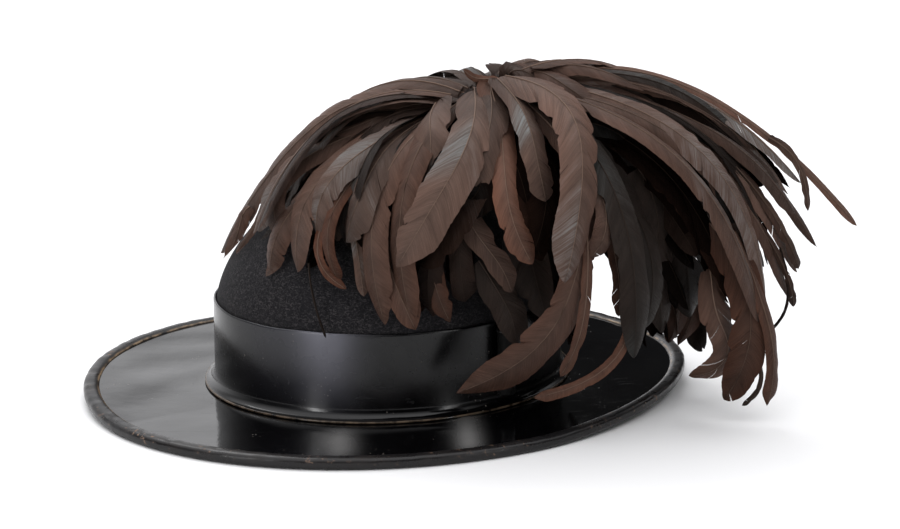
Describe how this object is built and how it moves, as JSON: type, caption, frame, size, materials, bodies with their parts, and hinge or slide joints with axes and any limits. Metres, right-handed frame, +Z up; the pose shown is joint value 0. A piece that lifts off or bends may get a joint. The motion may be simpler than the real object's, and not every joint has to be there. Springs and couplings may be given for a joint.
{
  "type": "plumed hat",
  "caption": "Round-brimmed military dress hat with a domed felt crown, a varnished leather band and brim, and a drooping plume of dark cock feathers over one side",
  "frame": {"origin": "on the floor, under the middle of the whole hat's box", "axes": "+Z up, out of the crown's top; +X towards the plume's long fall; -Y the side that the plume drapes, which the picture shows"},
  "size_m": [0.4232, 0.314, 0.1993],
  "materials": {
    "varnished_leather": "black, high-gloss varnish with fine scratches",
    "binding_leather": "black leather, worn brown at the edge",
    "felt": "matte charcoal wool felt with short grey fibres",
    "socket_metal": "black lacquer, satin",
    "feathers": "grey-brown to red-brown cock feathers with a faint green sheen"
  },
  "bodies": {
    "root": {"brim": "varnished_leather", "brim_binding": "binding_leather", "crown": "felt", "band": "varnished_leather", "plume_socket": "socket_metal", "plume": "feathers"}
  },
  "joints": []
}
